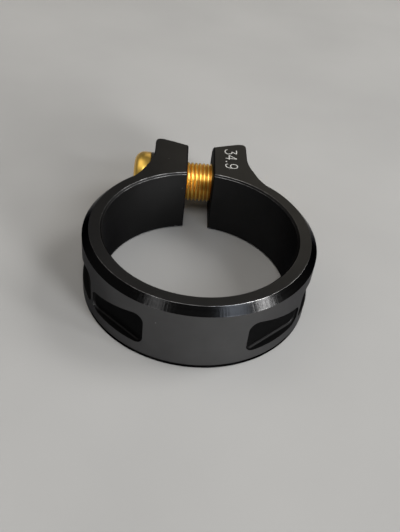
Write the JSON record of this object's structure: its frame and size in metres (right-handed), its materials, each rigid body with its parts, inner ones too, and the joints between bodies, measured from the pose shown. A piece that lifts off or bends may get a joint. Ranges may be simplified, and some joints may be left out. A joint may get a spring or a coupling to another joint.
{
  "type": "seatpost clamp",
  "caption": "Split ring clamp that closes a bicycle's seat tube on its seatpost: a pocketed band whose ears are drawn together by a socket-head bolt.",
  "frame": {"origin": "on the bore's axis, halfway up the ring", "axes": "+Z along the bore towards the bevelled rim, +Y from the bore to the slit and ears, +X along the bolt from its head to its tip"},
  "size_m": [0.0418, 0.0539, 0.0136],
  "materials": {
    "black_anodised": "black anodised, satin wall and bright-turned bevel",
    "gold_anodised": "gold anodised, bright",
    "dark_steel": "blackened steel"
  },
  "bodies": {
    "ring": {"clamp_ring": "black_anodised"},
    "washer": {"bolt_washer": "dark_steel"},
    "bolt": {"clamp_bolt": "gold_anodised"}
  },
  "joints": [
    {"name": "washer_slide", "type": "slide", "parent": "ring", "child": "washer", "axis": [-1, 0, 0], "range_m": [0, 0.0056]},
    {"name": "bolt_turn", "type": "hinge", "parent": "washer", "child": "bolt", "pos_m": [0, 0.02455, 0], "axis": [-1, 0, 0], "range_deg": [0, 2520]}
  ],
  "couplings": [
    {"joint": "bolt_turn", "follows": "washer_slide", "rad_per_m": 7854}
  ]
}
